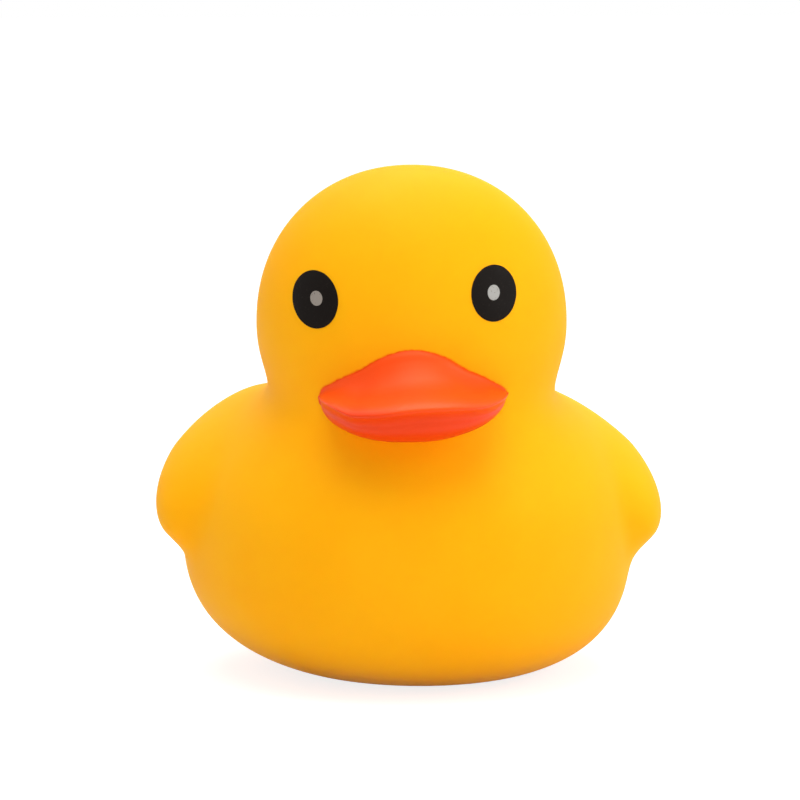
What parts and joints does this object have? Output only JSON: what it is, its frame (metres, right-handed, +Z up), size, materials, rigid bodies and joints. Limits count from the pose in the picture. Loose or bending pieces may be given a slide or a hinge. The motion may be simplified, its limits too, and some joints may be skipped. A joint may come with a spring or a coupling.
{
  "type": "rubber duck",
  "caption": "Hollow soft-vinyl bath duck with a round head, painted bill, printed oval eyes, side wings, upswept tail and flat base.",
  "frame": {"origin": "middle of the bounding box at the height of the flat base", "axes": "+Z up, -Y the way the duck faces, +X to the right of someone who looks the duck in the face"},
  "size_m": [0.0924, 0.0991, 0.0932],
  "materials": {
    "yellow_vinyl": "satin"
  },
  "bodies": {
    "root": {"duck_shell": "yellow_vinyl"}
  },
  "joints": []
}
